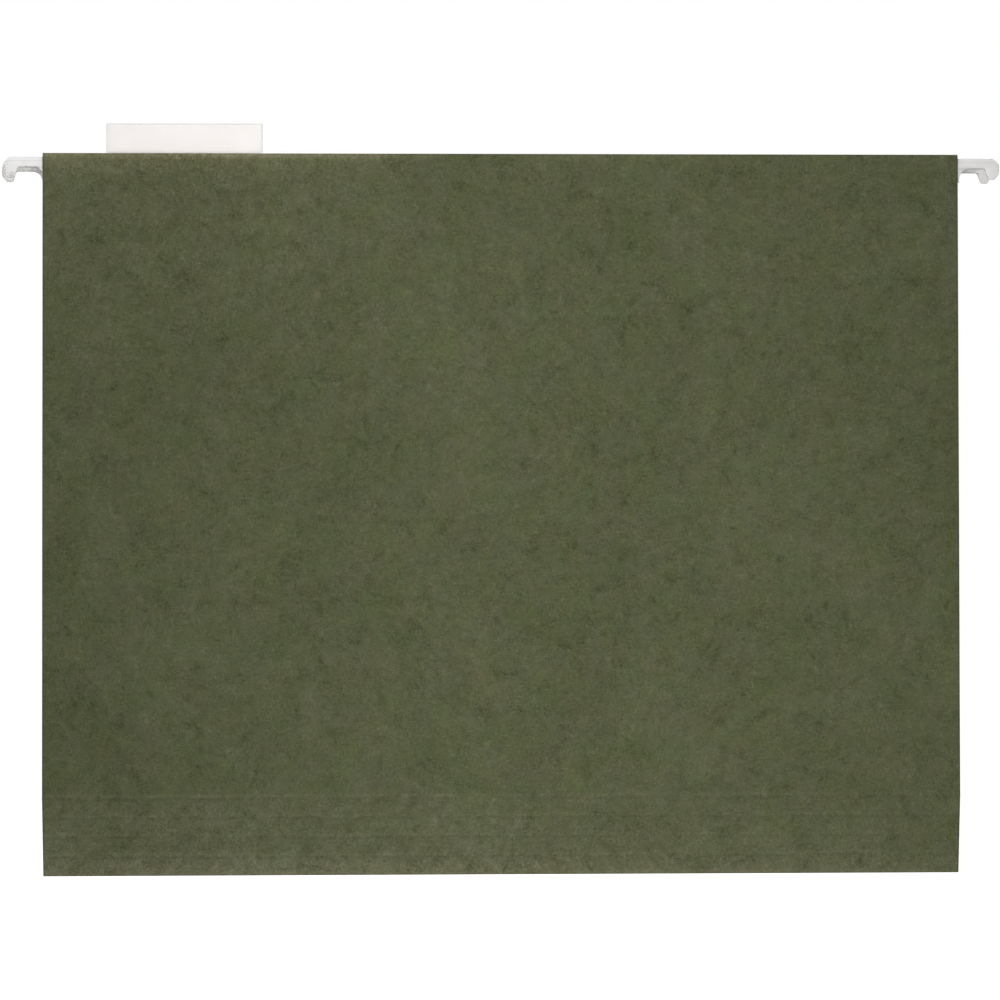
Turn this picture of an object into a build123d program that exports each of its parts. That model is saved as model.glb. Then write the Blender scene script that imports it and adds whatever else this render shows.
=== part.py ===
from build123d import *
import math
import os

os.makedirs("parts", exist_ok=True)

# A letter-size hanging file folder, as it hangs between two rails.
# X runs along the rods, the front flap faces -Y and Z is up. The origin is midway between the
# rails and between the flaps, at the height where the hooks of the back rod sit on the rails.

# Sheet: one piece of folder board, folded at the bottom and hemmed over a rod along each top edge
sheet_width = 298.45
sheet_height = 234.95
board = 0.3
mouth = 4.6
crest_room = 1.35

# Bottom fold and the score lines above it, which let the bottom be squared off
fold_radius = 0.6
first_score_height = 5.95
score_pitch = 6.5
score_count = 4
crease_gap = 0.02
fold_clearance = 0.2
fold_wrap_angle = 18

# Hem: a channel for the rod, then a joggle down to the lap that is glued to the panel
channel_spare = 3.7
joggle_height = 4.0
joggle_round = 1.5
lap_height = 12.0
glue = 0.1
glue_inset = 2.0
glue_margin = 5.0

# Slots for label tabs, spread evenly along the inner half of each hem's crest
slot_count = 10
slot_margin = 33.0
slot_clearance = 1.0
overrun = 1.0

# Rods: flat steel with a hook at each end, and a dipped plastic coat on the hooks
hook_reach = 13.0
rod_thickness = 0.8
rod_clearance = 0.1
coat = 0.25
coat_clearance = 0.02
coat_lap = 3.0
shank_height = 3.4
strip_drop = 4.4
shoulder_overhang = 0.1
shoulder_round = 3.4
notch_round = 0.6
hook_width = 3.45
hook_drop = 3.4
hook_slope = 1.3
toe_width = 2.0
toe_round = 0.5
nose_chamfer = 1.9
nose_round = 0.9
cheek_drop = 1.4
cheek_round = 1.2

# Each rod lies loose in its hem, a little to one side; the front one also lies a little higher
front_rod_shift = 0.5
back_rod_shift = -0.8
front_rod_lift = 0.5

# Label tab: a folded strip of clear plastic with two tongues, holding a paper label
tab_width = 50.8
tab_height = 9.8
tab_wall = 0.2
tab_clearance = 0.1
tab_slot = 0
tongue_width = 11.0
tongue_length = 6.0
label_thickness = 0.2
label_clearance = 0.05
label_end_margin = 0.5
label_height = 9.1

# Depths, out from the middle plane between the flaps
channel = rod_thickness + 2 * (coat + rod_clearance)
channel_inner = mouth / 2 + board
panel_inner = channel_inner + channel
rod_plane = channel_inner + channel / 2
hem_middle = mouth / 2 + board / 2
panel_middle = panel_inner + board / 2
lap_middle = panel_inner - glue - board / 2

# Places along the rods, out from the middle
rod_half = sheet_width / 2 + hook_reach
shoulder_half = sheet_width / 2 + shoulder_overhang
first_slot = slot_margin - sheet_width / 2
slot_pitch = (sheet_width - 2 * slot_margin) / (slot_count - 1)

# Heights
crest_top = front_rod_lift + shank_height + crest_room
crest_center = crest_top - channel / 2 - board
channel_bottom = -strip_drop - channel_spare
joggle_bottom = channel_bottom - joggle_height
hem_bottom = joggle_bottom - lap_height
fold_center = crest_top - sheet_height + fold_radius

# The score strips lean in from the panels to meet the bottom fold at a tangent
fold_core = fold_radius - board
strip_run = first_score_height + (score_count - 1) * score_pitch
lean = math.asin(panel_inner / math.hypot(strip_run, fold_core)) - math.atan2(fold_core, strip_run)

sides = {"front": -1, "back": 1}

# The bottom fold turns with the back strip that it grows out of, and clears the front one
loose_strip = (sides["front"], 1)


def sheet_point(side, run, depth):
    """Point of a score strip in Y and Z: run up from the bottom fold, depth out from the inner face."""
    out = fold_core + depth
    y = out * math.cos(lean) + run * math.sin(lean)
    z = fold_center - out * math.sin(lean) + run * math.cos(lean)
    return (side * y, z)


def make_panel(name, side):
    """One flap from its top score line to its crest, with the hem that turns down inside it."""
    panel_foot = sheet_point(side, strip_run, 0)[1] + crease_gap
    slot_length = tongue_width + 2 * slot_clearance
    slot_depth = rod_plane - rod_thickness / 2 - mouth / 2 + overrun
    slot_height = crest_top - crest_center + overrun
    with BuildPart() as panel:
        with BuildSketch(Plane.YZ.offset(-sheet_width / 2)):
            with BuildLine():
                ply = Line((side * panel_middle, panel_foot), (side * panel_middle, crest_center))
                crest = TangentArc(ply @ 1, (side * hem_middle, crest_center), tangent=ply % 1)
                FilletPolyline(
                    crest @ 1,
                    (side * hem_middle, channel_bottom),
                    (side * lap_middle, joggle_bottom),
                    (side * lap_middle, hem_bottom),
                    radius=joggle_round,
                )
            trace(line_width=board)
        extrude(amount=sheet_width)
        for slot in range(slot_count):
            slot_x = first_slot + slot * slot_pitch
            slot_y = side * (mouth / 2 - overrun + slot_depth / 2)
            with Locations((slot_x, slot_y, crest_center + slot_height / 2)):
                Box(slot_length, slot_depth, slot_height, mode=Mode.SUBTRACT)
    panel.part.label = f"{name}_panel"
    export_step(panel.part, f"parts/{name}_panel.step")


def make_hem_glue(name, side):
    """Bead of glue that holds the hem's lap against the inner face of its panel."""
    with BuildPart() as hem_glue:
        with Locations((0, side * (panel_inner - glue / 2), joggle_bottom - lap_height / 2)):
            Box(sheet_width - 2 * glue_margin, glue, lap_height - 2 * glue_inset)
    hem_glue.part.label = f"{name}_hem_glue"
    export_step(hem_glue.part, f"parts/{name}_hem_glue.step")


def make_score_strip(name, side, number):
    """Strip of the sheet between two score lines, counted up from the bottom fold."""
    top_run = first_score_height + (number - 1) * score_pitch - crease_gap
    foot_run = top_run - score_pitch + 2 * crease_gap if number > 1 else 0
    corners = [
        sheet_point(side, foot_run, 0),
        sheet_point(side, top_run, 0),
        sheet_point(side, top_run, board),
        sheet_point(side, foot_run, board),
    ]
    with BuildPart() as strip:
        with BuildSketch(Plane.YZ.offset(-sheet_width / 2)):
            with BuildLine():
                Polyline(*corners, close=True)
            make_face()
            if (side, number) == loose_strip:
                with Locations((0, fold_center)):
                    Circle(fold_radius + fold_clearance, mode=Mode.SUBTRACT)
        extrude(amount=sheet_width)
    strip.part.label = f"{name}_strip_{number}"
    export_step(strip.part, f"parts/{name}_strip_{number}.step")


def make_bottom_fold():
    """The turn of the sheet at the bottom, from the back strip round to just past the front one's foot."""
    start = 180 + math.degrees(lean) - fold_wrap_angle
    turn = 180 - 2 * math.degrees(lean) + fold_wrap_angle
    with BuildPart() as fold:
        with BuildSketch(Plane.YZ.offset(-sheet_width / 2)):
            with BuildLine():
                CenterArc((0, fold_center), fold_core + board / 2, start, turn)
            trace(line_width=board)
        extrude(amount=sheet_width)
    fold.part.label = "bottom_fold"
    export_step(fold.part, "parts/bottom_fold.step")


def rod_outline(inset):
    """Side view of a coated rod in X and Z, drawn in from its surface by inset, with its seat at Z 0."""
    tip = rod_half + coat
    hook_foot = tip - hook_width
    with BuildSketch() as outline:
        with BuildLine():
            edge = FilletPolyline(
                (0, shank_height),
                (tip - nose_chamfer, shank_height),
                (tip, shank_height - nose_chamfer),
                (tip, -cheek_drop),
                (hook_foot + toe_width, -hook_drop),
                (hook_foot, -hook_drop),
                (hook_foot - hook_slope, 0),
                (shoulder_half, 0),
                (shoulder_half, -strip_drop),
                (0, -strip_drop),
                radius=[
                    nose_round,
                    nose_round,
                    cheek_round,
                    toe_round,
                    toe_round,
                    notch_round,
                    shoulder_round,
                    0,
                ],
            )
            Line(edge @ 1, edge @ 0)
        make_face()
        mirror(about=Plane.YZ)
        offset(amount=-inset)
    return outline.sketch


def rod_side_plane(side, shift, lift):
    """Plane through the middle of a rod, with its origin at the middle of the rod's seat."""
    return Plane(origin=(shift, side * rod_plane, lift), x_dir=(1, 0, 0), z_dir=(0, -1, 0))


def make_rod(name, plane):
    """Bare steel of one rod, from hook to hook."""
    with BuildPart() as rod:
        with BuildSketch(plane):
            add(rod_outline(coat))
        extrude(amount=rod_thickness / 2, both=True)
    rod.part.label = f"{name}_rod"
    export_step(rod.part, f"parts/{name}_rod.step")


def make_rod_tip(name, end_name, end, plane):
    """Plastic coat over one hook of a rod, ending a little way inside the hem."""
    coat_start = shoulder_half - coat_lap
    coat_reach = rod_half + coat - coat_start + overrun
    with BuildPart() as tip:
        with BuildSketch(plane):
            add(rod_outline(0))
            with Locations((end * (coat_start + coat_reach / 2), 0)):
                Rectangle(coat_reach, 2 * (shank_height + strip_drop), mode=Mode.INTERSECT)
        extrude(amount=rod_thickness / 2 + coat, both=True)
        with BuildSketch(plane):
            add(rod_outline(coat - coat_clearance))
        extrude(amount=rod_thickness / 2 + coat_clearance, both=True, mode=Mode.SUBTRACT)
    tip.part.label = f"{name}_rod_{end_name}_tip"
    export_step(tip.part, f"parts/{name}_rod_{end_name}_tip.step")


def make_tab_and_label():
    """Clear tab folded over a paper label, pushed into two slots of the front crest."""
    side = sides["front"]
    rod_inner = rod_plane - rod_thickness / 2
    rear_middle = (channel_inner + rod_inner) / 2
    wall_spacing = label_thickness + 2 * label_clearance + tab_wall
    foot = crest_top + tab_clearance
    arch_center = crest_top + tab_height - (wall_spacing + tab_wall) / 2
    tab_center = first_slot + tab_slot * slot_pitch + slot_pitch / 2
    with BuildPart() as tab:
        with BuildSketch(Plane.YZ.offset(tab_center - tab_width / 2)):
            with BuildLine():
                rear = Line((side * rear_middle, foot), (side * rear_middle, arch_center))
                front_middle = rear_middle + wall_spacing
                arch = TangentArc(rear @ 1, (side * front_middle, arch_center), tangent=rear % 1)
                Line(arch @ 1, (side * front_middle, foot))
            trace(line_width=tab_wall)
        extrude(amount=tab_width)
        for end in (-1, 1):
            with Locations((tab_center + end * slot_pitch / 2, side * rear_middle, foot)):
                Box(
                    tongue_width,
                    tab_wall,
                    tongue_length,
                    align=(Align.CENTER, Align.CENTER, Align.MAX),
                )
    tab.part.label = "tab"
    export_step(tab.part, "parts/tab.step")

    label_y = side * (rear_middle + wall_spacing / 2)
    with BuildPart() as label:
        with Locations((tab_center, label_y, foot)):
            Box(
                tab_width - 2 * label_end_margin,
                label_thickness,
                label_height,
                align=(Align.CENTER, Align.CENTER, Align.MIN),
            )
    label.part.label = "label"
    export_step(label.part, "parts/label.step")


for name, side in sides.items():
    make_panel(name, side)
    make_hem_glue(name, side)
    for number in range(1, score_count + 1):
        make_score_strip(name, side, number)
make_bottom_fold()

front_plane = rod_side_plane(sides["front"], front_rod_shift, front_rod_lift)
back_plane = rod_side_plane(sides["back"], back_rod_shift, 0)
for name, plane in (("front", front_plane), ("back", back_plane)):
    make_rod(name, plane)
    make_rod_tip(name, "left", -1, plane)
    make_rod_tip(name, "right", 1, plane)
make_tab_and_label()
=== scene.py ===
import math

import bmesh
import bpy
from mathutils import Matrix, Vector, noise
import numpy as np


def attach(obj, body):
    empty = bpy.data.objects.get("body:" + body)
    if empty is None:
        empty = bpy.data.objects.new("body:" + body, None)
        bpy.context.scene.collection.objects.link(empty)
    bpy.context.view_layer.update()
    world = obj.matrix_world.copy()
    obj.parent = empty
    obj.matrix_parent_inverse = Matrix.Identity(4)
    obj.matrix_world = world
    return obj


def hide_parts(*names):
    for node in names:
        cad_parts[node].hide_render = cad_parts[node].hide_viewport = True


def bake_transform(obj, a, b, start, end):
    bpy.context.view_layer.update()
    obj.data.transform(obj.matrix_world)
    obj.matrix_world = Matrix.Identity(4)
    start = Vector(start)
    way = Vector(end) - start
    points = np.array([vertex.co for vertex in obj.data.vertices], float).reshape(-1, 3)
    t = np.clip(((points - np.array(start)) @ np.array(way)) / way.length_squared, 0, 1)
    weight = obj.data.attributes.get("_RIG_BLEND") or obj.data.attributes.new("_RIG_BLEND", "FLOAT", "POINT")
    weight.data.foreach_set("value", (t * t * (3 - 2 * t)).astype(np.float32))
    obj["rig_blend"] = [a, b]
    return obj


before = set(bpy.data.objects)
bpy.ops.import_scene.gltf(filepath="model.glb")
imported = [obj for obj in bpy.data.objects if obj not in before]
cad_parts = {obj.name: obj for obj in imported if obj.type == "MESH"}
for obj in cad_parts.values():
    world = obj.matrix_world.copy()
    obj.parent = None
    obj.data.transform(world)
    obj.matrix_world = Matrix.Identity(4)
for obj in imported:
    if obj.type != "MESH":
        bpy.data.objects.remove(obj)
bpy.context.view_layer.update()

# Sizes are in millimetres, as in the CAD source, and meshes are scaled to metres when they are done
mm = 0.001
sheet_width = 298.45
sheet_height = 234.95
board = 0.3
mouth = 4.6
crest_room = 1.35
fold_radius = 0.6
first_score_height = 5.95
score_pitch = 6.5
score_count = 4
fold_wrap_angle = 18.0
channel_spare = 3.7
joggle_height = 4.0
joggle_round = 1.5
lap_height = 12.0
glue = 0.1
slot_count = 10
slot_margin = 33.0
slot_clearance = 1.0
hook_reach = 13.0
rod_thickness = 0.8
rod_clearance = 0.1
coat = 0.25
coat_lap = 3.0
shank_height = 3.4
strip_drop = 4.4
shoulder_overhang = 0.1
shoulder_round = 3.4
notch_round = 0.6
hook_width = 3.45
hook_drop = 3.4
hook_slope = 1.3
toe_width = 2.0
toe_round = 0.5
nose_chamfer = 1.9
nose_round = 0.9
cheek_drop = 1.4
cheek_round = 1.2
front_rod_shift = 0.5
back_rod_shift = -0.8
front_rod_lift = 0.5
tab_width = 50.8
tab_height = 9.8
tab_wall = 0.2
tab_clearance = 0.1
tongue_width = 11.0
tongue_length = 6.0
label_thickness = 0.2
label_clearance = 0.05
label_end_margin = 0.5
label_height = 9.1

# Finer shapes that only the looks need
bead_slope = 13.0
bead_half_width = 0.9
crease_reach = 1.05
blend_reach = 1.0
flap_wave = 0.22
wave_length = 75.0
wave_fade = 35.0
lip_start = 1.4
lip_sink = 0.055
lip_wall = 0.08
lip_radius = 0.66
lip_turn = 72.0
foot_gap = 0.78
coat_edge_round = 0.36
tongue_tip = 1.6
tongue_taper = 0.78
perforation_pitch = 0.8
perforation_depth = 0.22

# Headings and turns of a drawn section, in degrees
upwards = 90
downwards = -90
right_angle = 90
half_turn = 180

# Rows of faces along flat runs, and steps round bends
lap_rows = 3
channel_rows = 2
flap_rows = 26
strip_rows = 2
lip_rows = 2
tab_rows = 2
joggle_steps = 3
slot_steps = 5
crest_steps = 9
bead_steps = 3
fold_steps = 14
lip_steps = 7
tab_steps = 10
corner_steps = 8
rim_steps = 4

# Edges that turn by more degrees than these are shaded sharp
board_sharp = 35.0
coat_sharp = 50.0
tab_sharp = 40.0
label_sharp = 30.0

# Points nearer than this count as being at one place, and points nearer than the second are merged
same_place = 0.1
same_point = 0.01

# Places that follow from the sizes
sheet_half = sheet_width / 2
channel = rod_thickness + 2 * (coat + rod_clearance)
channel_inner = mouth / 2 + board
panel_inner = channel_inner + channel
rod_plane = channel_inner + channel / 2
hem_middle = mouth / 2 + board / 2
panel_middle = panel_inner + board / 2
lap_middle = panel_inner - glue - board / 2
crest_top = front_rod_lift + shank_height + crest_room
crest_center = crest_top - channel / 2 - board
crest_radius = (panel_middle - hem_middle) / 2
channel_bottom = -strip_drop - channel_spare
joggle_bottom = channel_bottom - joggle_height
hem_bottom = joggle_bottom - lap_height
fold_center = crest_top - sheet_height + fold_radius
fold_core = fold_radius - board
fold_middle = fold_core + board / 2
strip_run = first_score_height + (score_count - 1) * score_pitch
lean = math.asin(panel_inner / math.hypot(strip_run, fold_core)) - math.atan2(fold_core, strip_run)
lean_degrees = math.degrees(lean)
rod_half = sheet_half + hook_reach
shoulder_half = sheet_half + shoulder_overhang
coat_tip = rod_half + coat
notch_end = coat_tip - hook_width - hook_slope
slot_edge = rod_plane - rod_thickness / 2
slot_pitch = (sheet_width - 2 * slot_margin) / (slot_count - 1)
slot_length = tongue_width + 2 * slot_clearance
first_slot = slot_margin - sheet_half
tab_center = first_slot + slot_pitch / 2
tab_top = crest_top + tab_height
tab_foot = crest_top + tab_clearance
tab_spacing = label_thickness + 2 * label_clearance + tab_wall
tab_rear = (channel_inner + slot_edge) / 2
tab_arch = tab_top - (tab_spacing + tab_wall) / 2

# Length of a quarter circle with a radius of one
quarter_arc = math.pi / 2

# Runs along the sheet, up from the middle of the bottom fold
fold_half_run = fold_middle * (quarter_arc - lean)
top_score_run = (panel_middle - fold_middle * math.cos(lean)) / math.sin(lean)
top_score_height = fold_center - fold_middle * math.sin(lean) + top_score_run * math.cos(lean)
strips_top = fold_half_run + top_score_run
crest_run = strips_top + crest_center - top_score_height + crest_radius * quarter_arc

# Colours, in linear light
white = (1.0, 1.0, 1.0)
board_green = (0.0704, 0.0826, 0.0361)
board_olive = (0.0776, 0.0819, 0.0398)
yellow_stain = (1.0, 1.0, 0.94)
blue_stain = (1.0, 1.0, 1.07)
# Crest colour: partly rubbing, partly a painted highlight and painted light
crest_rub_and_light = (0.179, 0.170, 0.096)
# Foot colour: painted light from below and a painted highlight on the score ridges, with some rubbing
foot_rub_and_light = (0.190, 0.182, 0.115)
# Fold colour: rubbing, and painted light from below
fold_rub_and_light = (0.205, 0.165, 0.115)
# Painted shade in the score grooves, with some grime
score_groove_shade = (0.030, 0.032, 0.018)
# Painted shade for the sheet's cut edges
cut_edge_shade = (0.050, 0.050, 0.026)
press_mark = (0.200, 0.205, 0.120)
coat_thick = (0.835, 0.825, 0.810)
coat_thin = (0.890, 0.882, 0.870)
coat_speck = (0.58, 0.57, 0.55)
coat_right_grey = (0.50, 0.49, 0.48)
coat_line = (0.45, 0.45, 0.45)
# Painted shade on the hooks' rounded rims, mixed with scuffs
rim_scuff_and_shade = (0.34, 0.34, 0.33)
coat_worn = (0.30, 0.30, 0.29)
# Rail grime mixed with painted shadow on the back rod's flank and under the shanks
rail_smear_and_shadow = (0.26, 0.26, 0.25)
rail_mark_and_shadow = (0.13, 0.13, 0.125)
steel_dark = (0.40, 0.405, 0.41)
steel_light = (0.58, 0.58, 0.575)
steel_stain = (0.33, 0.31, 0.28)
glue_amber = (0.42, 0.36, 0.24)
glue_pale = (0.62, 0.57, 0.43)
plastic_clear = (0.86, 0.85, 0.84)
plastic_haze = (0.92, 0.91, 0.90)
# Painted dark edges of the clear plastic
plastic_edge_shade = (0.10, 0.10, 0.10)
plastic_tongue = (0.45, 0.46, 0.47)
card_shade = (0.955, 0.912, 0.888)
card_white = (0.975, 0.935, 0.915)
card_tooth = (0.84, 0.79, 0.75)
floor_grey = (0.80, 0.80, 0.80)

# How strongly each layer of the board's pulp shows, paler above zero and darker below it
cloud_strength = 0.85
curd_strength = 0.34
pulp_strength = 1.10
blotch_strength = -0.26
fleck_strength = 0.30
pit_strength = -0.20
pale_curl_strength = 0.22
dark_curl_strength = -0.15
tone_shift = 0.019
tone_shares = (1.04, 1.0, 1.30)
worn_contrast = 1.6

# Most of a noise lies between the first and the last of these
noise_low = 0.3
noise_middle = 0.5
noise_high = 0.7

# Heights of the faint pressed line across the front flap, and of the faint line along the hooks
press_height = -77.3
hook_line_height = shank_height - 1.25


# Section drawing

class SectionPen:
    """Draws the section of a thin sheet in Y and Z, as seen on the back half of the folder."""

    def __init__(self, out, height, heading, run):
        self.mesh = bmesh.new()
        self.runs = self.mesh.verts.layers.float.new("run")
        self.tip = self.mesh.verts.new((0, out, height))
        self.heading = heading
        self.run = run
        self.tip[self.runs] = run

    def step_on(self, tip, length):
        """Makes this the pen's tip, so much further down the sheet."""
        self.tip = tip
        self.run -= length
        tip[self.runs] = self.run

    def forward(self, length, steps=1):
        """Straight on, in even steps."""
        angle = math.radians(self.heading)
        stride = length / steps
        for _ in range(steps):
            made = bmesh.ops.extrude_vert_indiv(self.mesh, verts=[self.tip])
            tip = made["verts"][0]
            way = Vector((0, math.cos(angle), math.sin(angle))) * stride
            bmesh.ops.translate(self.mesh, verts=[tip], vec=way)
            self.step_on(tip, stride)

    def bend(self, degrees, radius, steps):
        """Round an arc: to the left for positive degrees, to the right for negative ones."""
        turn = math.radians(degrees) / steps
        hand = math.copysign(1, degrees)
        for _ in range(steps):
            angle = math.radians(self.heading + hand * right_angle)
            center = self.tip.co + Vector((0, math.cos(angle), math.sin(angle))) * radius
            made = bmesh.ops.spin(
                self.mesh,
                geom=[self.tip],
                cent=center,
                axis=(1, 0, 0),
                angle=turn,
                steps=1,
                use_duplicate=False,
            )
            tip = made_verts(made["geom_last"])[0]
            self.heading += math.degrees(turn)
            self.step_on(tip, abs(turn) * radius)

    def score_bead(self, turn=0.0):
        """The pressed ridge of a score line, which may also turn the sheet."""
        radius = bead_half_width / (2 * math.sin(math.radians(bead_slope)))
        self.bend(bead_slope, radius, bead_steps)
        self.bend(-2 * bead_slope + turn, radius, 2 * bead_steps)
        self.bend(bead_slope, radius, bead_steps)


def made_verts(made):
    """The points among what an operator made."""
    return [part for part in made if isinstance(part, bmesh.types.BMVert)]


def sweep(pen, low, high):
    """Draws the section out along the rods into a sheet."""
    mesh = pen.mesh
    bmesh.ops.translate(mesh, verts=mesh.verts[:], vec=(low, 0, 0))
    swept = bmesh.ops.extrude_edge_only(mesh, edges=mesh.edges[:])
    bmesh.ops.translate(mesh, verts=made_verts(swept["geom"]), vec=(high - low, 0, 0))
    return mesh


def cut_across(mesh, places):
    """Adds edges across a sheet at these places along the rods."""
    for place in places:
        everything = mesh.verts[:] + mesh.edges[:] + mesh.faces[:]
        bmesh.ops.bisect_plane(mesh, geom=everything, plane_co=(place, 0, 0), plane_no=(1, 0, 0))


def face_front(mesh):
    """Turns a sheet drawn for the back half over to the front half."""
    bmesh.ops.scale(mesh, verts=mesh.verts[:], vec=(1, -1, 1))
    bmesh.ops.reverse_faces(mesh, faces=mesh.faces[:])


def lay_flat(mesh, side):
    """Maps a sheet as it lay before folding, in metres: along the rods, and up from the bottom fold."""
    runs = mesh.verts.layers.float["run"]
    flat = mesh.loops.layers.uv.new("flat_sheet")
    for face in mesh.faces:
        for corner in face.loops:
            corner[flat].uv = (corner.vert.co.x * mm, -side * corner.vert[runs] * mm)


def thicken(mesh, wall):
    """Makes a solid sheet in metres of a drawn one, half of its thickness to each side."""
    bmesh.ops.scale(mesh, verts=mesh.verts[:], vec=(mm, mm, mm))
    thin = bpy.data.meshes.new("thin_sheet")
    mesh.to_mesh(thin)
    mesh.free()
    holder = bpy.data.objects.new("thin_sheet", thin)
    bpy.context.scene.collection.objects.link(holder)
    wall_maker = holder.modifiers.new("wall", "SOLIDIFY")
    wall_maker.thickness = wall * mm
    wall_maker.offset = 0
    wall_maker.use_even_offset = True
    wall_maker.use_quality_normals = True
    thick = bpy.data.meshes.new_from_object(holder.evaluated_get(bpy.context.evaluated_depsgraph_get()))
    bpy.data.objects.remove(holder)
    bpy.data.meshes.remove(thin)
    return thick


def piece_from(name, shapes, material, sharp):
    """One piece from finished meshes, shaded smooth except over edges sharper than this angle."""
    whole = bmesh.new()
    for shape in shapes:
        whole.from_mesh(shape)
        bpy.data.meshes.remove(shape)
    for face in whole.faces:
        face.smooth = True
    for edge in whole.edges:
        edge.smooth = len(edge.link_faces) == 2 and edge.calc_face_angle() < math.radians(sharp)
    mesh = bpy.data.meshes.new(name)
    whole.to_mesh(mesh)
    whole.free()
    mesh.materials.append(material)
    piece = bpy.data.objects.new(name, mesh)
    bpy.context.scene.collection.objects.link(piece)
    return piece


# Materials

class Nodes:
    """Adds nodes to a node tree, one by one."""

    def __init__(self, tree):
        self.nodes = tree.nodes
        self.links = tree.links

    def put(self, socket, value):
        """Links an output to a socket, or sets the socket to a colour or a number."""
        if isinstance(value, bpy.types.NodeSocket):
            self.links.new(value, socket)
        elif socket.type == "RGBA":
            socket.default_value = (*value, 1)
        else:
            socket.default_value = value

    def node(self, kind, output=0, inputs=None, **settings):
        """A new node, of which one output is given back."""
        made = self.nodes.new(kind)
        for key, value in settings.items():
            setattr(made, key, value)
        for key, value in (inputs or {}).items():
            self.put(made.inputs[key], value)
        return made.outputs[output]

    def calc(self, operation, first, second=0.0):
        """One step of arithmetic, on one value or two."""
        return self.node("ShaderNodeMath", inputs={0: first, 1: second}, operation=operation)

    def plus(self, first, *others):
        """The sum of all these."""
        for other in others:
            first = self.calc("ADD", first, other)
        return first

    def times(self, first, *others):
        """The product of all these."""
        for other in others:
            first = self.calc("MULTIPLY", first, other)
        return first

    def larger(self, first, second):
        """The larger of two values."""
        return self.calc("MAXIMUM", first, second)

    def apart(self, value, place):
        """How far a value lies from a place, to either side."""
        return self.calc("ABSOLUTE", self.calc("SUBTRACT", value, place))

    def around(self, grain, amount):
        """A noise about its middle, made so strong."""
        return self.times(self.calc("SUBTRACT", grain, noise_middle), amount)

    def spread(self, value, low, high, to_low=0.0, to_high=1.0, kind="SMOOTHSTEP"):
        """A value taken from one range to another."""
        inputs = {"Value": value, "From Min": low, "From Max": high, "To Min": to_low, "To Max": to_high}
        return self.node("ShaderNodeMapRange", inputs=inputs, interpolation_type=kind)

    def fade(self, value, full, gone, amount=1.0):
        """So much up to one place, and nothing past the other."""
        return self.spread(value, full, gone, to_low=amount, to_high=0.0)

    def band(self, value, start, full, full_end, end):
        """Rises from start to full, and falls again from full_end to end."""
        return self.times(self.spread(value, start, full), self.fade(value, full_end, end))

    def grain(self, vector, scale, detail, roughness, distortion=0.0, dimensions="3D"):
        """A noise, with so many repeats to the metre."""
        inputs = {
            "Vector": vector,
            "Scale": scale,
            "Detail": detail,
            "Roughness": roughness,
            "Distortion": distortion,
        }
        return self.node("ShaderNodeTexNoise", inputs=inputs, noise_dimensions=dimensions)

    def stretch(self, vector, scale, turn=0.0):
        """Coordinates scaled by axis, and turned by so many degrees."""
        inputs = {"Vector": vector, "Scale": scale, "Rotation": (0, 0, math.radians(turn))}
        return self.node("ShaderNodeMapping", inputs=inputs)

    def object_place(self):
        """The place on the piece, in metres."""
        return self.node("ShaderNodeTexCoord", output="Object")

    def millimetres(self, vector):
        """The three coordinates of a place in metres, each in millimetres."""
        inputs = {0: vector, "Scale": 1 / mm}
        scaled = self.node("ShaderNodeVectorMath", inputs=inputs, operation="SCALE")
        parts = self.nodes.new("ShaderNodeSeparateXYZ")
        self.links.new(scaled, parts.inputs[0])
        return parts.outputs[:]

    def mix(self, factor, first, second, blend="MIX"):
        """Two colours, mixed by a factor."""
        made = self.nodes.new("ShaderNodeMix")
        made.data_type = "RGBA"
        made.blend_type = blend
        colours = [socket for socket in made.inputs if socket.type == "RGBA"]
        self.put(made.inputs["Factor"], factor)
        self.put(colours[0], first)
        self.put(colours[1], second)
        return [socket for socket in made.outputs if socket.type == "RGBA"][0]

    def mottle(self, grain, first, second):
        """Two colours, mixed by a noise."""
        return self.mix(self.spread(grain, noise_low, noise_high), first, second)

    def tint(self, colour, shade):
        """A colour multiplied by another."""
        return self.mix(1.0, colour, shade, "MULTIPLY")

    def bump(self, height, strength, distance):
        """A surface raised by a noise, over a distance in millimetres."""
        inputs = {"Height": height, "Strength": strength, "Distance": distance * mm}
        return self.node("ShaderNodeBump", inputs=inputs)

    def dullness(self, grain, least, most):
        """Roughness that follows a noise."""
        return self.spread(grain, noise_low, noise_high, least, most, "LINEAR")


class Finish(Nodes):
    """A material, made node by node."""

    def __init__(self, name):
        self.material = bpy.data.materials.new(name)
        self.material.use_nodes = True
        super().__init__(self.material.node_tree)
        self.surface = self.nodes["Principled BSDF"]

    def done(self, **inputs):
        """Puts the values on the shader's sockets, and gives the material back."""
        for key, value in inputs.items():
            self.put(self.surface.inputs[key.replace("_", " ")], value)
        return self.material


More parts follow.
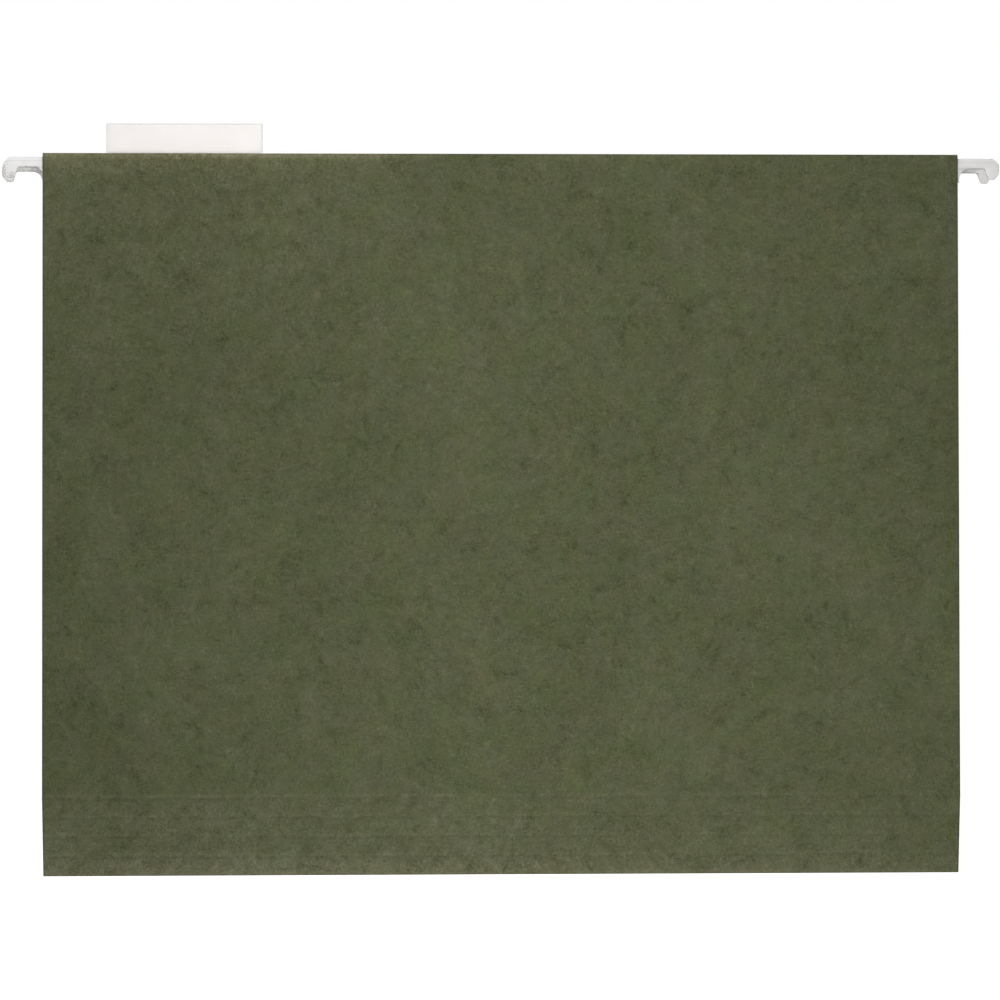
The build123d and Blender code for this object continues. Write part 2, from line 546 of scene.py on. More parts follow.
class BoardFinish(Finish):
    """Green-grey board: clouded pulp and short fibres, with wear and with painted light and shade on its
    crests, scores, strips, fold and cut ends.
    """

    def __init__(self):
        super().__init__("folder_board")
        self.flat = self.node("ShaderNodeUVMap", uv_map="flat_sheet")
        self.along, self.up, _ = self.millimetres(self.flat)
        self.run = self.calc("ABSOLUTE", self.up)
        self.pulp = self.pattern(scale=1150, detail=3, roughness=1.0)
        self.fibres = self.drawn(pull=(420, 2600, 1), turn=24)
        self.cross_fibres = self.drawn(pull=(2500, 460, 1), turn=-15)

    def pattern(self, scale, detail, roughness, distortion=0.0, turn=0.0, pull=(1, 1, 1)):
        """A noise on the sheet as it lay flat."""
        place = self.stretch(self.flat, pull, turn)
        return self.grain(place, scale, detail, roughness, distortion, "2D")

    def drawn(self, pull, turn):
        """Short fibres that lie one way, with so many to the metre along and across."""
        return self.pattern(scale=1, detail=2, roughness=0.6, distortion=0.8, turn=turn, pull=pull)

    def curls(self, scale, turn):
        """Curled hairs in the pulp, in tufts."""
        winding = self.pattern(scale=scale, detail=2, roughness=0.55, distortion=0.5, turn=turn)
        strands = self.fade(self.apart(winding, noise_middle), full=0.0, gone=0.06)
        tufts = self.pattern(scale=300, detail=2, roughness=0.6, turn=turn - 70)
        return self.times(strands, self.spread(tufts, 0.48, 0.66))

    def tone(self):
        """How much paler or darker than its colour the pulp is, from place to place."""
        clouds = self.pattern(scale=16, detail=6, roughness=1.0, distortion=0.3)
        curds = self.pattern(scale=330, detail=2, roughness=0.7, distortion=0.4, turn=12)
        blotches = self.pattern(scale=130, detail=3, roughness=0.75, distortion=0.3, turn=31)
        coarse = self.pattern(scale=105, detail=2, roughness=0.6, turn=77)
        flecks = self.larger(self.fibres, self.cross_fibres)
        pits = self.calc("MINIMUM", self.fibres, self.cross_fibres)
        coarseness = self.spread(coarse, 0.35, 0.65, to_low=0.6, to_high=1.35)
        return self.plus(
            self.around(clouds, cloud_strength),
            self.around(curds, curd_strength),
            self.times(self.around(self.pulp, pulp_strength), coarseness),
            self.times(self.spread(blotches, 0.47, 0.83), blotch_strength),
            self.times(self.spread(flecks, 0.62, 0.80), fleck_strength),
            self.times(self.spread(pits, 0.38, 0.22), pit_strength),
            self.times(self.curls(scale=380, turn=50), pale_curl_strength),
            self.times(self.curls(scale=430, turn=95), dark_curl_strength),
            tone_shift,
        )

    def shade(self, tone, contrast=1.0):
        """The tone as a colour to multiply by, a little stronger in red and blue."""
        parts = [self.plus(self.times(tone, share * contrast), 1.0) for share in tone_shares]
        return self.node("ShaderNodeCombineColor", inputs=dict(enumerate(parts)))

    def dyed(self):
        """The dye, greener or browner, yellower or bluer from place to place."""
        tints = self.pattern(scale=70, detail=3, roughness=0.8, distortion=0.3, turn=-40)
        stains = self.pattern(scale=75, detail=3, roughness=0.8, distortion=0.3, turn=66)
        green = self.mottle(tints, board_green, board_olive)
        return self.tint(green, self.mottle(stains, yellow_stain, blue_stain))

    def rub_and_light_crest(self, colour, worn):
        """Lightens the crest and the board below it, mostly towards the left end: partly rubbing, partly a
        painted highlight on the rounded crest and painted light on the upper flap.
        """
        from_crest = self.apart(self.run, crest_run)
        to_left = self.fade(self.along, full=-110, gone=15)
        patches = self.spread(self.pattern(scale=24, detail=3, roughness=0.7), 0.30, 0.66, to_low=0.35)
        on_top = self.times(
            self.fade(from_crest, full=0.6, gone=3.0, amount=0.68),
            patches,
            self.spread(to_left, 0.0, 1.0, to_low=0.14, to_high=1.32),
        )
        near = self.fade(from_crest, full=1.0, gone=11.0, amount=0.19)
        far = self.fade(from_crest, full=0.0, gone=90.0, amount=0.10)
        below = self.times(self.plus(near, far), self.spread(to_left, 0.0, 1.0, to_low=0.12))
        return self.mix(self.plus(on_top, below), colour, self.tint(crest_rub_and_light, worn))

    def rub_and_light_foot(self, colour, worn):
        """Lightens the scored strips, more towards the fold and the left end: painted light from below on
        the strips that lean down, with some rubbing.
        """
        slowly = self.spread(self.run, strips_top, 0.0, to_low=0.05, to_high=0.12, kind="LINEAR")
        by_fold = self.fade(self.run, full=0.0, gone=9.5, amount=0.13)
        lit_and_rubbed = self.times(
            self.plus(slowly, by_fold),
            self.fade(self.run, full=strips_top + 0.2, gone=strips_top + 1.6),
            self.spread(self.along, -110, 130, to_low=1.5, to_high=0.6),
        )
        return self.mix(lit_and_rubbed, colour, self.tint(foot_rub_and_light, worn))

    def light_and_shade_scores(self, colour):
        """Painted highlights on the ridges above the score lines and painted shade in the grooves below
        them, with some rubbing and grime, broken and a little wavy.
        """
        count = self.calc("DIVIDE", self.calc("SUBTRACT", strips_top, self.run), score_pitch)
        past_score = self.calc("SUBTRACT", count, self.calc("ROUND", count))
        waver = self.around(self.pattern(scale=45, detail=3, roughness=0.6), 1.5)
        from_score = self.plus(self.times(past_score, score_pitch), waver)
        breaks = self.pattern(scale=1, detail=4, roughness=0.9, pull=(130, 420, 1))
        scored = self.times(
            self.band(count, start=-0.3, full=-0.25, full_end=score_count - 0.6, end=score_count - 0.5),
            self.spread(breaks, 0.42, 0.66, to_high=1.4),
            self.spread(self.along, -120, 120, to_low=1.15, to_high=0.8),
        )
        ridge = self.band(from_score, start=-1.6, full=-0.5, full_end=-0.4, end=0.1)
        groove = self.band(from_score, start=-0.1, full=0.4, full_end=0.5, end=1.3)
        ridge_highlight_strength = 0.11
        groove_shade_strength = 0.17
        colour = self.mix(self.times(ridge, scored, ridge_highlight_strength), colour, foot_rub_and_light)
        return self.mix(self.times(groove, scored, groove_shade_strength), colour, score_groove_shade)

    def rub_and_light_fold(self, colour):
        """Lightens the bottom fold in patches: rubbing through the dye, and painted light from below on the
        fold's underside.
        """
        patches = self.spread(self.pattern(scale=20, detail=3, roughness=0.7), 0.38, 0.66, to_low=0.3)
        lit_and_rubbed = self.times(self.fade(self.run, full=0.5, gone=1.8, amount=0.24), patches)
        return self.mix(lit_and_rubbed, colour, fold_rub_and_light)

    def shade_ends(self, colour):
        """Painted shade along the cut edges at both ends of the sheet."""
        from_middle = self.calc("ABSOLUTE", self.along)
        cut = self.spread(from_middle, sheet_half - 0.75, sheet_half - 0.05, to_high=0.62)
        return self.mix(cut, colour, cut_edge_shade)

    def press_line(self, colour):
        """A faint line pressed across the front flap."""
        line_run = strips_top - top_score_height + press_height
        line = self.fade(self.apart(self.up, line_run), full=0.1, gone=0.6, amount=0.025)
        return self.mix(line, colour, press_mark)

    def make(self):
        """The whole finish, from the dye to the wear and the painted light and shade."""
        tone = self.tone()
        worn = self.shade(tone, worn_contrast)
        colour = self.tint(self.dyed(), self.shade(tone))
        colour = self.rub_and_light_crest(colour, worn)
        colour = self.rub_and_light_foot(colour, worn)
        colour = self.light_and_shade_scores(colour)
        colour = self.rub_and_light_fold(colour)
        colour = self.shade_ends(colour)
        colour = self.press_line(colour)
        fibre_height = 0.6
        rise = self.plus(self.pulp, self.times(self.fibres, fibre_height))
        return self.done(
            Base_Color=colour,
            Roughness=self.spread(self.pulp, 0.2, 0.8, to_low=0.70, to_high=0.88, kind="LINEAR"),
            Normal=self.bump(rise, strength=0.35, distance=0.12),
            Specular_IOR_Level=0.15,
        )


class CoatFinish(Finish):
    """Off-white dipped plastic, thicker in places, with scuffed rims and rail marks, both mixed with painted
    shade.
    """

    def __init__(self):
        super().__init__("hook_coat")
        self.place = self.object_place()
        self.along, self.depth, _ = self.millimetres(self.place)
        flank = self.node("ShaderNodeUVMap", uv_map="flank")
        self.reach, self.height, _ = self.millimetres(flank)
        self.rim = self.node("ShaderNodeAttribute", output="Fac", attribute_name="rim")
        drips = self.stretch(self.place, (1, 1, 0.5))
        self.drips = self.grain(drips, scale=260, detail=3, roughness=0.55, distortion=0.4)
        self.scuffs = self.scuffed()

    def scuffed(self):
        """How scuffed the coat is, more unevenly at the left end."""
        scuffs = self.grain(self.place, scale=1000, detail=3, roughness=0.7)
        uneven = self.spread(scuffs, 0.38, 0.60, to_low=-0.75, to_high=0.75)
        at_left = self.spread(self.along, -100, 100, to_low=1.0, to_high=0.1)
        usual = 0.85
        return self.plus(self.times(uneven, at_left), usual)

    def dipped(self):
        """The coat as it was dipped, with fine specks and a faint line, greyer at the right end."""
        specks = self.grain(self.place, scale=2600, detail=2, roughness=0.5)
        colour = self.mottle(self.drips, coat_thick, coat_thin)
        colour = self.mix(self.spread(specks, 0.64, 0.76, to_high=0.25), colour, coat_speck)
        # Greyer towards the right end
        colour = self.mix(self.spread(self.along, -120, 120, to_high=0.35), colour, coat_right_grey)
        from_line = self.apart(self.height, hook_line_height)
        return self.mix(self.fade(from_line, full=0.1, gone=0.4, amount=0.18), colour, coat_line)

    def scuff_and_shade_rims(self, colour):
        """Greys the rounded rims with painted shade, mixed with scuffs."""
        worn = self.times(self.spread(self.rim, 0.05, 0.8, to_high=0.58), self.scuffs)
        return self.mix(worn, colour, rim_scuff_and_shade)

    def wear_ends(self, colour):
        """Fine winding scratches on the nose and the toe, mostly at the left end."""
        nose = self.spread(self.reach, coat_tip - 1.9, coat_tip - 0.5)
        toe = self.spread(self.height, -0.8, -2.2)
        winding = self.grain(self.place, scale=950, detail=2, roughness=0.6, distortion=0.6)
        worn = self.times(
            self.larger(nose, toe),
            self.fade(self.height, full=1.7, gone=2.7),
            self.spread(self.along, -100, 100, to_low=0.62, to_high=0.05),
            self.fade(self.apart(winding, noise_middle), full=0.01, gone=0.07),
        )
        return self.mix(worn, colour, coat_worn)

    def mark_and_shade_rails(self, colour):
        """Dark rail marks where the shank sits on the rail, with a painted shadow line under the shank; on
        the back rod the painted shadow of the front rod, mixed with rail grime, reaches further up.
        """
        marks = self.grain(self.place, scale=420, detail=3, roughness=0.6)
        marks = self.spread(marks, 0.32, 0.62, to_low=0.35, to_high=0.85)
        smear_and_shadow_height = self.spread(self.depth, -1.0, 1.0, to_low=0.6, to_high=1.8)
        smear_and_shadow = self.times(
            self.fade(self.calc("DIVIDE", self.height, smear_and_shadow_height), full=0.4, gone=1.0, amount=0.5),
            self.spread(self.height, -0.9, -0.2),
            self.fade(self.reach, full=notch_end - 0.6, gone=notch_end + 0.3),
            marks,
            self.scuffs,
        )
        colour = self.mix(smear_and_shadow, colour, rail_smear_and_shadow)
        seat_mark_and_shadow = self.band(self.height, start=-0.9, full=-0.2, full_end=0.1, end=0.6)
        seat_mark_and_shadow = self.times(seat_mark_and_shadow, marks, self.spread(self.rim, 0.1, 0.6))
        return self.mix(seat_mark_and_shadow, colour, rail_mark_and_shadow)

    def make(self):
        """The whole finish, from the dip to the wear and the painted shade."""
        colour = self.scuff_and_shade_rims(self.dipped())
        colour = self.mark_and_shade_rails(self.wear_ends(colour))
        return self.done(
            Base_Color=colour,
            Roughness=self.dullness(self.drips, 0.30, 0.46),
            Normal=self.bump(self.drips, strength=0.25, distance=0.2),
            IOR=1.5,
        )


def rod_steel_finish():
    """Drawn flat steel with lengthwise scratches."""
    steel = Finish("rod_steel")
    place = steel.object_place()
    drawn = steel.grain(steel.stretch(place, (18, 2600, 2600)), scale=1, detail=4, roughness=0.7)
    stains = steel.grain(place, scale=90, detail=3, roughness=0.6)
    colour = steel.mottle(drawn, steel_dark, steel_light)
    colour = steel.mix(steel.spread(stains, 0.55, 0.8, to_high=0.35), colour, steel_stain)
    return steel.done(
        Base_Color=colour,
        Roughness=steel.dullness(drawn, 0.26, 0.42),
        Normal=steel.bump(drawn, strength=0.2, distance=0.05),
        Metallic=1.0,
    )


def hem_glue_finish():
    """Dried white glue, gone amber and uneven."""
    dried = Finish("hem_glue")
    place = dried.stretch(dried.object_place(), (1, 1, 2.5))
    drops = dried.grain(place, scale=240, detail=3, roughness=0.6, distortion=0.5)
    return dried.done(
        Base_Color=dried.mottle(drops, glue_amber, glue_pale),
        Roughness=dried.dullness(drops, 0.35, 0.6),
        Normal=dried.bump(drops, strength=0.4, distance=0.2),
    )


def tab_plastic_finish():
    """Clear plastic with a faint haze, with painted dark edges along its cut ends and its folded top, where
    a clear edge would refract.
    """
    plastic = Finish("tab_plastic")
    place = plastic.object_place()
    along, _, height = plastic.millimetres(place)
    lines = plastic.grain(plastic.stretch(place, (30, 900, 2200)), scale=1, detail=3, roughness=0.6)
    haze = plastic.grain(place, scale=70, detail=3, roughness=0.6)
    colour = plastic.mottle(haze, plastic_clear, plastic_haze)
    from_middle = plastic.apart(along, tab_center)
    cut_ends = plastic.spread(from_middle, tab_width / 2 - 0.7, tab_width / 2 - 0.2)
    folded_top = plastic.spread(height, tab_top - 0.7, tab_top - 0.2)
    edge_shade_strength = 0.85
    edges = plastic.times(plastic.larger(cut_ends, folded_top), edge_shade_strength)
    colour = plastic.mix(edges, colour, plastic_edge_shade)
    tongues = plastic.fade(height, full=crest_top - 0.1, gone=tab_foot)
    tongue_strength = 0.5
    colour = plastic.mix(plastic.times(tongues, tongue_strength), colour, plastic_tongue)
    return plastic.done(
        Base_Color=colour,
        Roughness=plastic.dullness(lines, 0.06, 0.16),
        Normal=plastic.bump(lines, strength=0.08, distance=0.05),
        Alpha=plastic.spread(tongues, 0.0, 1.0, to_low=0.10, to_high=0.30, kind="LINEAR"),
        IOR=1.49,
    )


def label_paper_finish():
    """Plain white card with a fine tooth."""
    card = Finish("label_paper")
    place = card.object_place()
    tooth = card.grain(place, scale=1800, detail=4, roughness=0.7)
    clouds = card.grain(place, scale=140, detail=3, roughness=0.6)
    colour = card.mottle(clouds, card_shade, card_white)
    return card.done(
        Base_Color=card.mix(card.spread(tooth, 0.62, 0.8, to_high=0.2), colour, card_tooth),
        Roughness=card.dullness(tooth, 0.75, 0.9),
        Normal=card.bump(tooth, strength=0.25, distance=0.08),
    )


folder_board = BoardFinish().make()
hook_coat = CoatFinish().make()
rod_steel = rod_steel_finish()
hem_glue = hem_glue_finish()
tab_plastic = tab_plastic_finish()
label_paper = label_paper_finish()


# Folder sheet

sides = {"front": -1, "back": 1}


def wave_flap(mesh, side):
    """Lets the flat of a flap wave a little, as hung board does."""
    for vert in mesh.verts:
        if abs(vert.co.y) < panel_middle - same_place or vert.co.z > hem_bottom:
            continue
        low, high = vert.co.z - top_score_height, hem_bottom - vert.co.z
        fade = min(1.0, max(0.0, low - crease_reach) / wave_fade, high / wave_fade)
        fade = fade * fade * (3 - 2 * fade)
        place = Vector((vert.co.x / wave_length, side, vert.co.z / wave_length))
        vert.co.y += fade * flap_wave * noise.noise(place)


def flap_section():
    """Draws a flap from the foot of its hem's lap, over the crest and down almost to the top score line."""
    joggle_turn = math.degrees(math.atan2(lap_middle - hem_middle, joggle_height))
    fillet = joggle_round * math.tan(math.radians(joggle_turn) / 2)
    joggle_length = math.hypot(lap_middle - hem_middle, joggle_height)
    slot_turn = math.degrees(math.acos((rod_plane - slot_edge) / crest_radius))
    crest_quarter = crest_radius * quarter_arc
    hem_run = lap_height + joggle_length + crest_center - channel_bottom + crest_quarter

    pen = SectionPen(lap_middle, hem_bottom, upwards, crest_run + hem_run)
    pen.forward(lap_height - fillet, lap_rows)
    pen.bend(joggle_turn, joggle_round, joggle_steps)
    pen.forward(joggle_length - 2 * fillet)
    pen.bend(-joggle_turn, joggle_round, joggle_steps)
    pen.forward(crest_center - channel_bottom - fillet, channel_rows)
    pen.bend(-slot_turn, crest_radius, slot_steps)
    pen.bend(slot_turn - half_turn, crest_radius, crest_steps)
    pen.run = crest_run - crest_quarter
    pen.tip[pen.runs] = pen.run
    pen.forward(crest_center - top_score_height - crease_reach, flap_rows)
    return pen


def cut_slots(mesh):
    """Cuts the row of tab slots through the inner side of the crest."""
    slots = [first_slot + number * slot_pitch for number in range(slot_count)]
    cut_across(mesh, [slot + end * slot_length / 2 for slot in slots for end in (-1, 1)])
    cut_away = []
    for face in mesh.faces:
        middle = face.calc_center_median()
        in_slot = any(abs(middle.x - slot) < slot_length / 2 for slot in slots)
        if in_slot and middle.z > crest_center and middle.y < slot_edge:
            cut_away.append(face)
    bmesh.ops.delete(mesh, geom=cut_away, context="FACES")


def flap_board(name, side):
    """A flap with its hem, as one board."""
    mesh = sweep(flap_section(), -sheet_half, sheet_half)
    cut_slots(mesh)
    if side < 0:
        face_front(mesh)
    lay_flat(mesh, side)
    wave_flap(mesh, side)
    piece = piece_from(f"{name}_flap_board", [thicken(mesh, board)], folder_board, board_sharp)
    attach(piece, f"{name}_panel")
    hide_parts(f"{name}_panel")


def score_point(side, run):
    """A point on the middle of the sheet, so far up the leaning strips from the bottom fold, in metres."""
    out = fold_middle * math.cos(lean) + run * math.sin(lean)
    height = fold_center - fold_middle * math.sin(lean) + run * math.cos(lean)
    return Vector((0, side * out, height)) * mm


def strip_section(side, number, top_run):
    """Draws one strip, from just above its score line to just above the next one down, or to the fold."""
    start_run = fold_half_run + top_run + crease_reach
    if number == score_count:
        pen = SectionPen(panel_middle, top_score_height + crease_reach, downwards, start_run)
        turn = -lean_degrees
    else:
        start = score_point(1, top_run + crease_reach) / mm
        pen = SectionPen(start.y, start.z, downwards - lean_degrees, start_run)
        turn = 0.0
    pen.forward(crease_reach - bead_half_width)
    pen.score_bead(turn)
    if number > 1:
        pen.forward(score_pitch - bead_half_width - crease_reach, strip_rows)
    elif side > 0:
        pen.forward(top_run - bead_half_width, strip_rows)
        pen.bend(2 * lean_degrees - half_turn - fold_wrap_angle, fold_middle, fold_steps)
    else:
        pen.forward(top_run - bead_half_width - foot_gap, strip_rows)
    return pen


def lip_section():
    """Draws the thin lip at the foot of the front strips, which laps over the front of the bottom fold."""
    start = score_point(1, lip_start) / mm
    sunk = board / 2 - lip_sink
    out = start.y + sunk * math.cos(lean)
    height = start.z - sunk * math.sin(lean)
    drift = math.degrees(math.atan2(lip_radius - fold_middle - sunk, lip_start))
    pen = SectionPen(out, height, downwards - lean_degrees + drift, fold_half_run + lip_start)
    pen.forward(lip_start, lip_rows)
    pen.heading -= drift
    pen.bend(-lip_turn, lip_radius, lip_steps)
    return pen


def scored_sheet(pen, side, wall):
    """A solid sheet of the strips' length from a drawn section."""
    mesh = sweep(pen, -sheet_half, sheet_half)
    if side < 0:
        face_front(mesh)
    lay_flat(mesh, side)
    return thicken(mesh, wall)


def strip_board(name, side, number):
    """A strip between two score lines, with the pressed bead and bend of the upper one."""
    top_run = top_score_run - (score_count - number) * score_pitch
    shapes = []
    if number == 1 and side < 0:
        shapes.append(scored_sheet(lip_section(), side, lip_wall))
    shapes.append(scored_sheet(strip_section(side, number, top_run), side, board))
    piece = piece_from(f"{name}_strip_{number}_board", shapes, folder_board, board_sharp)
    above = f"{name}_panel" if number == score_count else f"{name}_strip_{number + 1}"
    start, end = score_point(side, top_run + blend_reach), score_point(side, top_run - blend_reach)
    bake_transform(piece, above, f"{name}_strip_{number}", start=start, end=end)
    if number == 1 and side > 0:
        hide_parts("back_strip_1", "bottom_fold")
    else:
        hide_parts(f"{name}_strip_{number}")


for name, side in sides.items():
    flap_board(name, side)
    for number in range(1, score_count + 1):
        strip_board(name, side, number)


# Rods and hooks

coat_thickness = rod_thickness + 2 * coat


def hook_outline():
    """The corners of a right-hand hook in X and Z, each with the radius that rounds it."""
    hook_foot = coat_tip - hook_width
    coat_start = shoulder_half - coat_lap
    return [
        (coat_start, shank_height, 0),
        (coat_tip - nose_chamfer, shank_height, nose_round),
        (coat_tip, shank_height - nose_chamfer, nose_round),
        (coat_tip, -cheek_drop, cheek_round),
        (hook_foot + toe_width, -hook_drop, toe_round),
        (hook_foot, -hook_drop, toe_round),
        (notch_end, 0, notch_round),
        (shoulder_half, 0, shoulder_round),
        (shoulder_half, -strip_drop, 0),
        (coat_start, -strip_drop, 0),
    ]


def round_off(mesh, parts, affect, offset, steps):
    """Rounds corners or edges."""
    bmesh.ops.bevel(
        mesh,
        geom=parts,
        affect=affect,
        offset=offset,
        offset_type="OFFSET",
        segments=steps,
        profile=0.5,
        material=-1,
        clamp_overlap=affect == "EDGES",
    )


def hook_plate():
    """The coat of a right-hand hook as a plate, rounded at its corners and over its rims."""
    outline = hook_outline()
    mesh = bmesh.new()
    corners = [mesh.verts.new((x, -coat_thickness / 2, z)) for x, z, _ in outline]
    mesh.faces.new(corners)
    for place, (x, z, radius) in enumerate(outline):
        if not radius:
            continue
        before, after = outline[place - 1], outline[(place + 1) % len(outline)]
        turn = Vector((x - before[0], z - before[1])).angle(Vector((after[0] - x, after[1] - z)))
        round_off(mesh, [corners[place]], "VERTICES", radius * math.tan(turn / 2), corner_steps)
    pulled = bmesh.ops.extrude_face_region(mesh, geom=mesh.faces[:])
    bmesh.ops.translate(mesh, verts=made_verts(pulled["geom"]), vec=(0, coat_thickness, 0))
    rims = [edge for edge in mesh.edges if abs(edge.verts[0].co.y - edge.verts[1].co.y) < same_place]
    round_off(mesh, rims, "EDGES", coat_edge_round, rim_steps)
    return mesh


def map_hook(mesh):
    """Marks how far over the rounded rims each point lies, and maps the flanks in metres."""
    rim = mesh.verts.layers.float.new("rim")
    for vert in mesh.verts:
        vert[rim] = min(1.0, (coat_thickness / 2 - abs(vert.co.y)) / coat_edge_round)
    flank = mesh.loops.layers.uv.new("flank")
    for face in mesh.faces:
        for corner in face.loops:
            corner[flank].uv = (corner.vert.co.x * mm, corner.vert.co.z * mm)


def hook_coat_piece(name, side, end_name, end, shift, lift):
    """The dipped coat of one hook, at its place on its rod."""
    mesh = hook_plate()
    map_hook(mesh)
    bmesh.ops.scale(mesh, verts=mesh.verts[:], vec=(end, 1, 1))
    bmesh.ops.translate(mesh, verts=mesh.verts[:], vec=(shift, side * rod_plane, lift))
    bmesh.ops.recalc_face_normals(mesh, faces=mesh.faces[:])
    bmesh.ops.scale(mesh, verts=mesh.verts[:], vec=(mm, mm, mm))
    shape = bpy.data.meshes.new("hook_coat")
    mesh.to_mesh(shape)
    mesh.free()
    piece = piece_from(f"{name}_{end_name}_hook_coat", [shape], hook_coat, coat_sharp)
    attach(piece, f"{name}_rod")
    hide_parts(f"{name}_rod_{end_name}_tip")


for name, shift, lift in (("front", front_rod_shift, front_rod_lift), ("back", back_rod_shift, 0)):
    for end_name, end in (("left", -1), ("right", 1)):
        hook_coat_piece(name, sides[name], end_name, end, shift, lift)
    for node, material in ((f"{name}_rod", rod_steel), (f"{name}_hem_glue", hem_glue)):
        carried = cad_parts[node]
        carried.data.materials.clear()
        carried.data.materials.append(material)


# Tab and label

def draw_tongue(mesh, tongue):
    """Draws a tongue down from the foot of the sleeve's rear wall, tapered at its tip."""
    root = [
        edge
        for edge in mesh.edges
        if all(
            abs(vert.co.z - tab_foot) < same_place
            and abs(vert.co.y - tab_rear) < same_place
            and abs(vert.co.x - tongue) < tongue_width / 2 + same_place
            for vert in edge.verts
        )
    ]
    for drop, taper in ((tongue_length - tongue_tip, 1.0), (tongue_tip, tongue_taper)):
        pulled = bmesh.ops.extrude_edge_only(mesh, edges=root)
        verts = made_verts(pulled["geom"])
        root = [part for part in pulled["geom"] if isinstance(part, bmesh.types.BMEdge)]
        root = [edge for edge in root if all(vert in verts for vert in edge.verts)]
        bmesh.ops.translate(mesh, verts=verts, vec=(0, 0, -drop))
        around = Matrix.Translation((-tongue, 0, 0))
        bmesh.ops.scale(mesh, verts=verts, vec=(taper, 1, 1), space=around)


def tab_sleeve():
    """The clear sleeve: two walls folded at the top, with two tongues below the rear one."""
    pen = SectionPen(tab_rear, tab_foot, upwards, 0)
    pen.forward(tab_arch - tab_foot, tab_rows)
    pen.bend(-half_turn, tab_spacing / 2, tab_steps)
    pen.forward(tab_arch - tab_foot, tab_rows)
    mesh = sweep(pen, tab_center - tab_width / 2, tab_center + tab_width / 2)
    tongues = [tab_center + end * slot_pitch / 2 for end in (-1, 1)]
    cut_across(mesh, [tongue + end * tongue_width / 2 for tongue in tongues for end in (-1, 1)])
    for tongue in tongues:
        draw_tongue(mesh, tongue)
    bmesh.ops.remove_doubles(mesh, verts=mesh.verts[:], dist=same_point)
    face_front(mesh)
    piece = piece_from("tab_sleeve", [thicken(mesh, tab_wall)], tab_plastic, tab_sharp)
    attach(piece, "tab")
    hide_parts("tab")


def label_card():
    """The card inside the tab, torn along its perforated ends."""
    half = tab_width / 2 - label_end_margin
    teeth = round(label_height / perforation_pitch) * 2
    pen = SectionPen(tab_rear + tab_spacing / 2, tab_foot, upwards, 0)
    pen.forward(label_height, teeth)
    mesh = sweep(pen, tab_center - half, tab_center + half)
    stride = label_height / teeth
    for vert in mesh.verts:
        if round((vert.co.z - tab_foot) / stride) % 2:
            vert.co.x -= math.copysign(perforation_depth, vert.co.x - tab_center)
    face_front(mesh)
    piece = piece_from("label_card", [thicken(mesh, label_thickness)], label_paper, label_sharp)
    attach(piece, "label")
    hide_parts("label")


tab_sleeve()
label_card()


# Camera at the photograph's place, a metre in front and a little to the left

camera_place = Vector((-28.6, -1000.0, -124.7)) * mm
camera_yaw = math.radians(1.598)
camera_pitch = math.radians(0.975)
camera_roll = math.radians(-0.089)
camera_pixels = 3061.4
picture_width = 1000.0


def photo_camera():
    """The camera, turned by its yaw, pitch and roll."""
    data = bpy.data.cameras.new("camera")
    data.sensor_width = 36.0
    data.lens = camera_pixels / picture_width * data.sensor_width
    data.clip_start = 0.02
    data.clip_end = 50.0
    camera = bpy.data.objects.new("camera", data)
    bpy.context.scene.collection.objects.link(camera)
    ahead = Vector(
        (
            math.sin(camera_yaw) * math.cos(camera_pitch),
            math.cos(camera_yaw) * math.cos(camera_pitch),
            math.sin(camera_pitch),
        )
    )
    right = Vector((math.cos(camera_yaw), -math.sin(camera_yaw), 0))
    above = right.cross(ahead)
    rolled_right = math.cos(camera_roll) * right + math.sin(camera_roll) * above
    rolled_above = math.cos(camera_roll) * above - math.sin(camera_roll) * right
    turned = Matrix((rolled_right, rolled_above, -ahead)).transposed().to_4x4()
    camera.matrix_world = Matrix.Translation(camera_place) @ turned
    bpy.context.scene.camera = camera


photo_camera()


# Studio: pale floor below the hanging folder, soft lamps and a white background

# Places on the floor, in metres
floor_drop = 0.12
floor_half = 6.0
near_floor = 0.35
far_floor = 1.6

# Strengths of the floor's own glow, near and far, and of the room's light on the folder
near_glow = 0.40
far_glow = 0.85
room_light = 0.28


def seen_rays(tree):
    """One where the camera sees it, also in gloss and through clear plastic, and nothing elsewhere."""
    path = tree.nodes.new("ShaderNodeLightPath")
    seen = path.outputs["Is Camera Ray"]
    for output in ("Is Glossy Ray", "Is Transmission Ray"):
        seen = tree.larger(seen, path.outputs[output])
    return seen


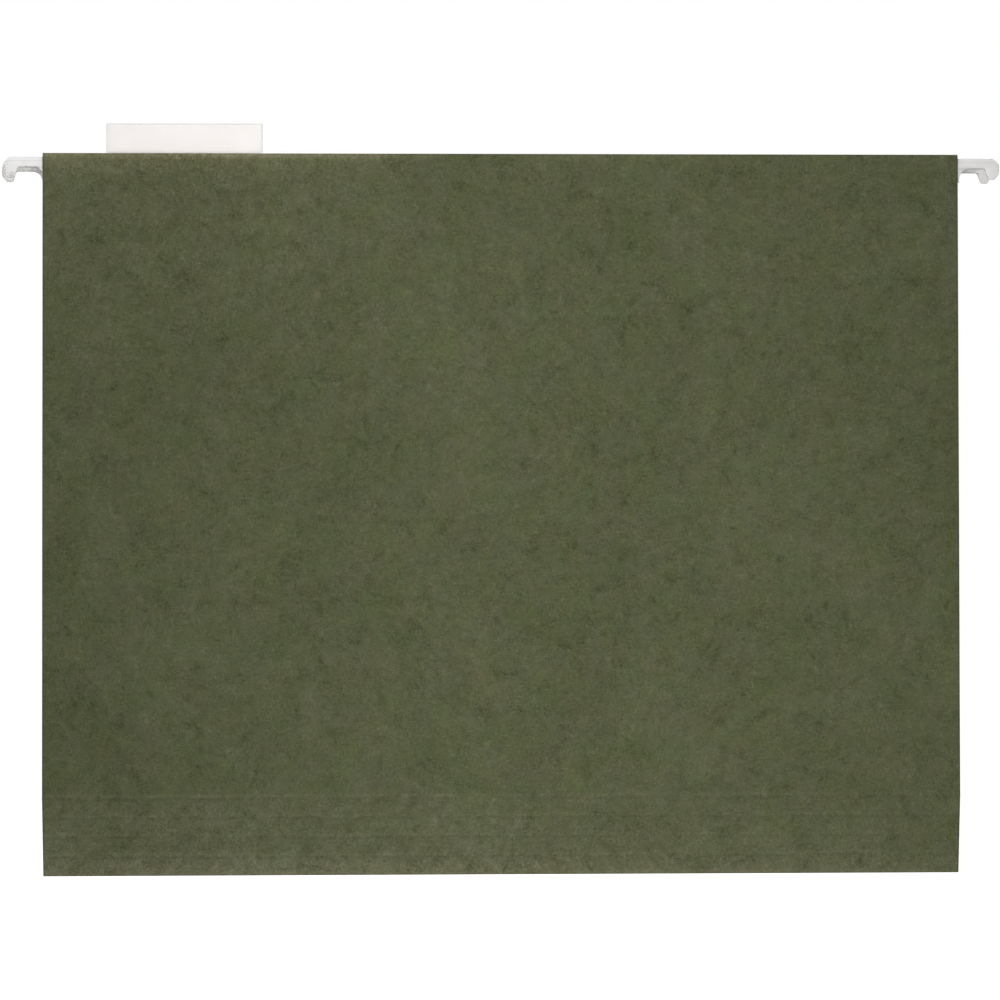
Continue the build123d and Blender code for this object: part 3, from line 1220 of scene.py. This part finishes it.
def floor_finish():
    """Pale floor that shows white to the camera where no shadow falls."""
    pale = Finish("floor")
    inputs = {0: pale.object_place()}
    away = pale.node("ShaderNodeVectorMath", output="Value", inputs=inputs, operation="LENGTH")
    glow = pale.spread(away, near_floor, far_floor, near_glow, far_glow)
    return pale.done(
        Base_Color=floor_grey,
        Roughness=1.0,
        Specular_IOR_Level=0.0,
        Emission_Color=white,
        Emission_Strength=pale.times(seen_rays(pale), glow),
    )


def studio_floor():
    """The floor, a little below the hanging folder."""
    mesh = bmesh.new()
    bmesh.ops.create_grid(mesh, x_segments=1, y_segments=1, size=floor_half)
    floor_height = (fold_center - fold_radius) * mm - floor_drop
    bmesh.ops.translate(mesh, verts=mesh.verts[:], vec=(0, 0, floor_height))
    shape = bpy.data.meshes.new("floor")
    mesh.to_mesh(shape)
    mesh.free()
    shape.materials.append(floor_finish())
    floor = bpy.data.objects.new("floor", shape)
    bpy.context.scene.collection.objects.link(floor)


def studio_world():
    """A world that lights the folder softly, and shows white."""
    world = bpy.data.worlds.new("studio")
    bpy.context.scene.world = world
    world.use_nodes = True
    tree = Nodes(world.node_tree)
    sky = tree.nodes["Background"]
    tree.put(sky.inputs["Color"], white)
    strength = tree.spread(seen_rays(tree), 0.0, 1.0, to_low=room_light, kind="LINEAR")
    tree.put(sky.inputs["Strength"], strength)


def soft_lamp(name, place, aim, width, height, power):
    """A soft box at a place in metres, turned to a point."""
    data = bpy.data.lights.new(name, "AREA")
    data.shape = "RECTANGLE"
    data.size, data.size_y = width, height
    data.energy = power
    lamp = bpy.data.objects.new(name, data)
    bpy.context.scene.collection.objects.link(lamp)
    lamp.location = place
    lamp.rotation_mode = "QUATERNION"
    lamp.rotation_quaternion = (Vector(aim) - Vector(place)).to_track_quat("-Z", "Y")
    lamp.visible_camera = False


studio_floor()
studio_world()
soft_lamp("front_lamp", (0.024, -0.28, -0.06), (0.024, 0, -0.06), width=0.10, height=0.54, power=0.68)
soft_lamp("top_lamp", (-0.42, -0.42, 0.55), (-0.08, 0, -0.05), width=0.5, height=0.4, power=2.6)
soft_lamp("back_lamp", (0.35, 0.85, 0.35), (0, 0, -0.11), width=0.8, height=0.8, power=8.6)
soft_lamp("low_lamp", (0.06, -0.26, -0.31), (0.02, 0, -0.20), width=0.30, height=0.05, power=0.10)

bpy.context.scene.view_settings.view_transform = "Standard"
